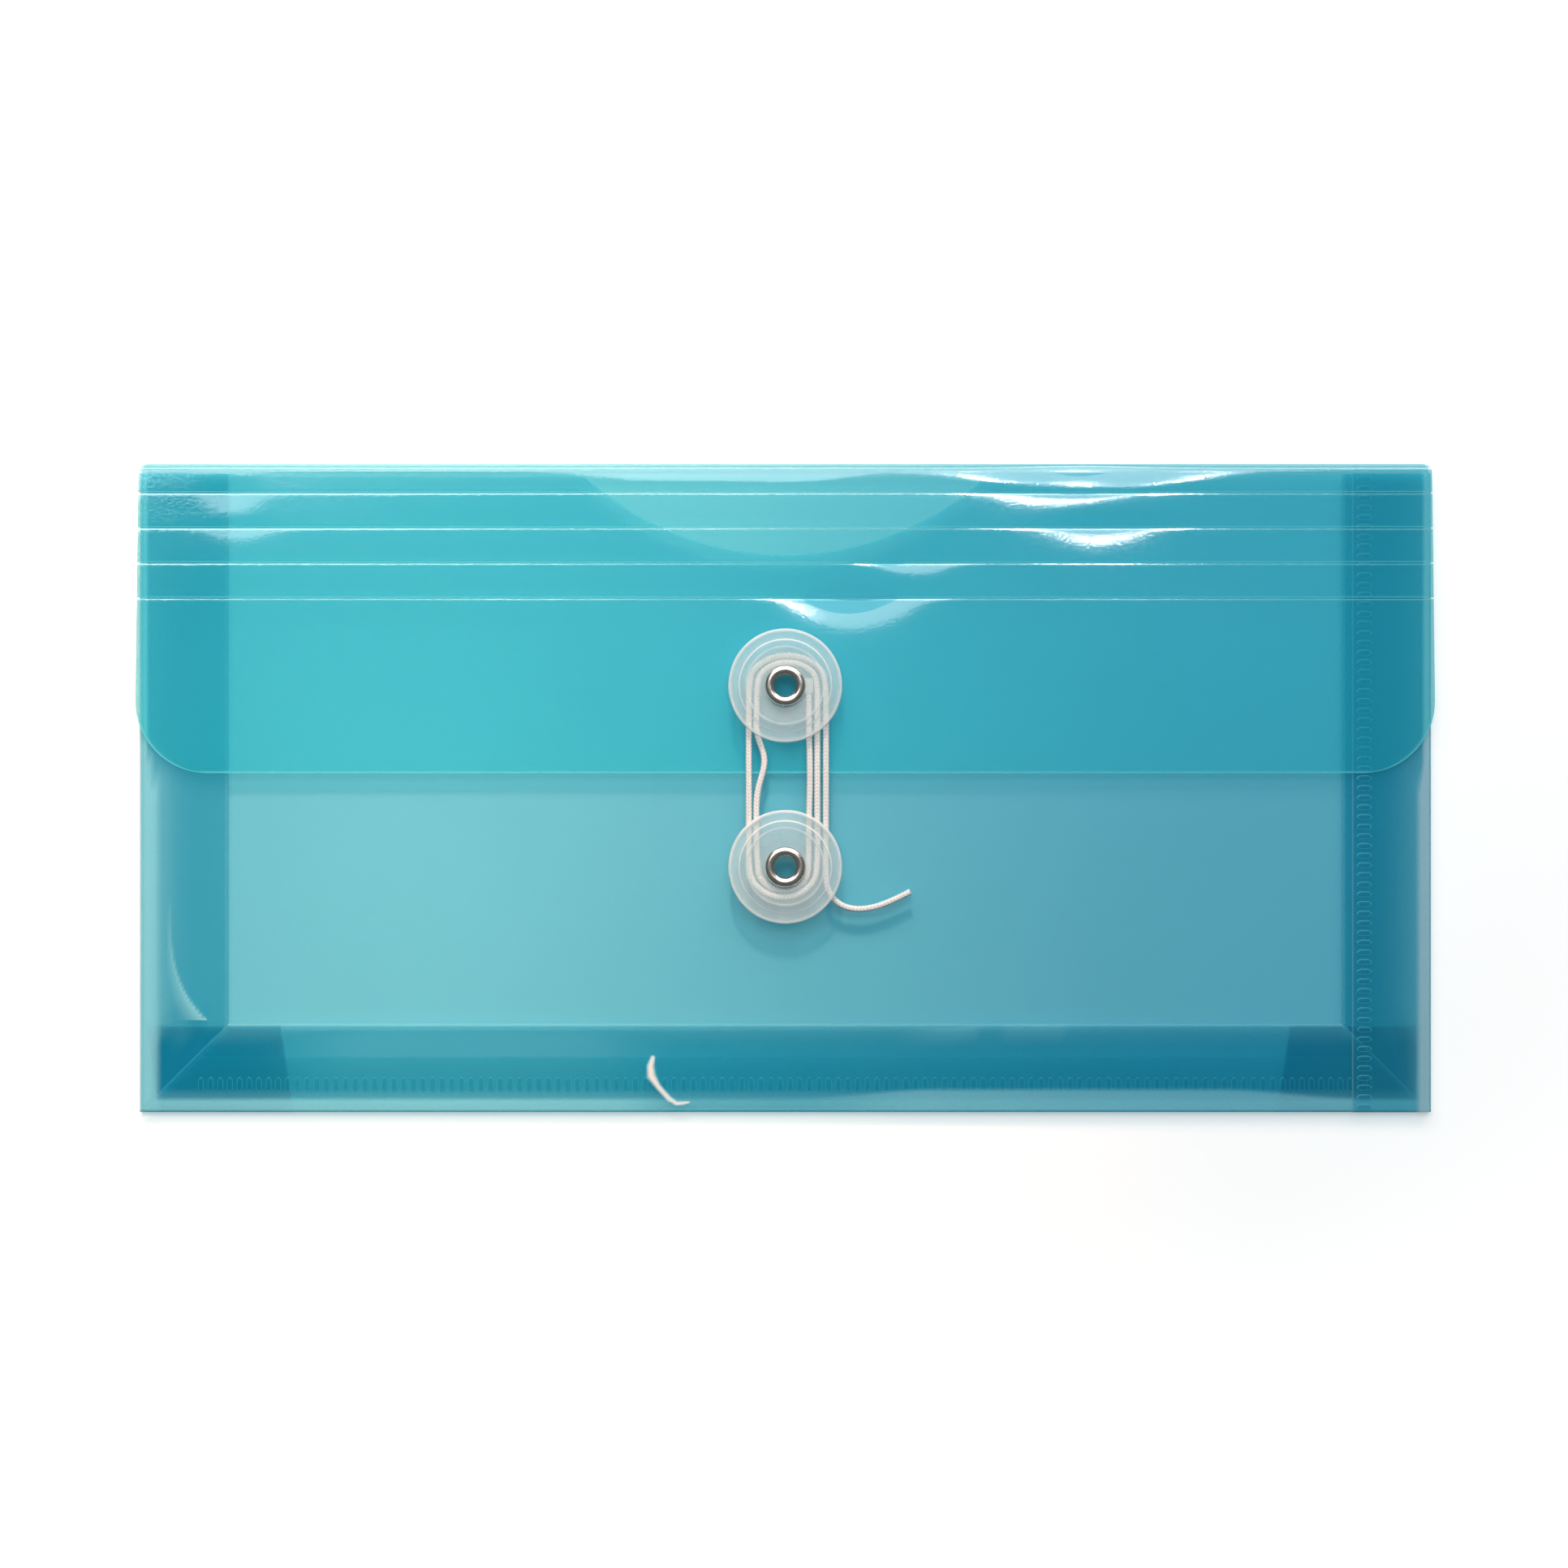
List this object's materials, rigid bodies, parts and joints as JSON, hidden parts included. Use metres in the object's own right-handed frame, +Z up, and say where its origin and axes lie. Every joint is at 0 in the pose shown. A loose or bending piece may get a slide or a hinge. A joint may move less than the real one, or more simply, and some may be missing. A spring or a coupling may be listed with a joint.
{
  "type": "string tie envelope",
  "caption": "Flat clear tinted document envelope with gusseted sides and bottom, a scored fold-over flap, and a button-and-string tie that holds the flap shut.",
  "frame": {"origin": "under the middle of the envelope, on the surface that the back panel lies on", "axes": "+X along the long side towards the welded side seam, +Y from the bottom gusset to the top fold, +Z up out of the flap and buttons"},
  "size_m": [0.2552, 0.1276, 0.0074],
  "materials": {
    "film": "clear tinted sheet, smooth",
    "button": "clear frosted disc",
    "eyelet": "bright nickel plate",
    "string": "white braided string"
  },
  "bodies": {
    "back": {"back_panel": "film"},
    "bottom_back": {"bottom_back_leaf": "film", "left_dust_flap": "film", "right_dust_flap": "film"},
    "bottom_front": {"bottom_front_leaf": "film", "bottom_seam_lap": "film"},
    "front": {"front_panel": "film", "side_seam_tab": "film", "lower_hub": "button", "lower_eyelet": "eyelet"},
    "left_back": {"left_back_leaf": "film"},
    "left_front": {"left_front_leaf": "film"},
    "right_back": {"right_back_leaf": "film"},
    "right_front": {"right_front_leaf": "film"},
    "flap_1": {"flap_strip_1": "film"},
    "flap_2": {"flap_strip_2": "film"},
    "flap_3": {"flap_strip_3": "film"},
    "flap_4": {"flap_strip_4": "film"},
    "flap": {"flap_tongue": "film", "upper_hub": "button", "upper_eyelet": "eyelet", "string_winding": "string", "string_tail": "string"},
    "upper_disc": {"upper_button": "button"},
    "lower_disc": {"lower_button": "button"}
  },
  "joints": [
    {"name": "flap_open", "type": "hinge", "parent": "back", "child": "flap_1", "pos_m": [0, 0.06385, 0.0017], "axis": [-1, 0, 0], "range_deg": [0, 150], "deforming": ["string_winding", "string_tail"]},
    {"name": "crease_1", "type": "hinge", "parent": "flap_1", "child": "flap_2", "pos_m": [0, 0.0579, 0.0034], "axis": [-1, 0, 0], "range_deg": [0, 7.5]},
    {"name": "crease_2", "type": "hinge", "parent": "flap_2", "child": "flap_3", "pos_m": [0, 0.051, 0.0034], "axis": [-1, 0, 0], "range_deg": [0, 7.5]},
    {"name": "crease_3", "type": "hinge", "parent": "flap_3", "child": "flap_4", "pos_m": [0, 0.0441, 0.0034], "axis": [-1, 0, 0], "range_deg": [0, 7.5]},
    {"name": "crease_4", "type": "hinge", "parent": "flap_4", "child": "flap", "pos_m": [0, 0.0372, 0.0034], "axis": [-1, 0, 0], "range_deg": [0, 7.5]},
    {"name": "bottom_back_fold", "type": "hinge", "parent": "back", "child": "bottom_back", "pos_m": [0, -0.0638, 0.0005], "axis": [1, 0, 0], "range_deg": [0, 11.25]},
    {"name": "bottom_middle_fold", "type": "hinge", "parent": "bottom_back", "child": "bottom_front", "pos_m": [0, -0.0468, 0.0013], "axis": [1, 0, 0], "range_deg": [-22.5, 0]},
    {"name": "bottom_front_fold", "type": "hinge", "parent": "bottom_front", "child": "front", "pos_m": [0, -0.0638, 0.0021], "axis": [1, 0, 0], "range_deg": [0, 11.25]},
    {"name": "left_back_fold", "type": "hinge", "parent": "back", "child": "left_back", "pos_m": [-0.127, 0, 0.0005], "axis": [0, -1, 0], "range_deg": [0, 11.25]},
    {"name": "left_middle_fold", "type": "hinge", "parent": "left_back", "child": "left_front", "pos_m": [-0.11, 0, 0.0013], "axis": [0, -1, 0], "range_deg": [-22.5, 0]},
    {"name": "right_back_fold", "type": "hinge", "parent": "back", "child": "right_back", "pos_m": [0.127, 0, 0.0005], "axis": [0, 1, 0], "range_deg": [0, 11.25]},
    {"name": "right_middle_fold", "type": "hinge", "parent": "right_back", "child": "right_front", "pos_m": [0.11, 0, 0.0013], "axis": [0, 1, 0], "range_deg": [-22.5, 0]},
    {"name": "upper_button_spin", "type": "hinge", "parent": "flap", "child": "upper_disc", "pos_m": [0, 0.02, 0.006], "axis": [0, 0, 1], "continuous": true},
    {"name": "lower_button_spin", "type": "hinge", "parent": "front", "child": "lower_disc", "pos_m": [0, -0.0155, 0.0052], "axis": [0, 0, 1], "continuous": true}
  ],
  "couplings": [
    {"joint": "crease_1", "follows": "flap_open", "ratio": 0.05},
    {"joint": "crease_2", "follows": "flap_open", "ratio": 0.05},
    {"joint": "crease_3", "follows": "flap_open", "ratio": 0.05},
    {"joint": "crease_4", "follows": "flap_open", "ratio": 0.05},
    {"joint": "bottom_back_fold", "follows": "flap_open", "ratio": 0.075},
    {"joint": "bottom_middle_fold", "follows": "flap_open", "ratio": -0.15},
    {"joint": "bottom_front_fold", "follows": "flap_open", "ratio": 0.075},
    {"joint": "left_back_fold", "follows": "flap_open", "ratio": 0.075},
    {"joint": "left_middle_fold", "follows": "flap_open", "ratio": -0.15},
    {"joint": "right_back_fold", "follows": "flap_open", "ratio": 0.075},
    {"joint": "right_middle_fold", "follows": "flap_open", "ratio": -0.15}
  ]
}
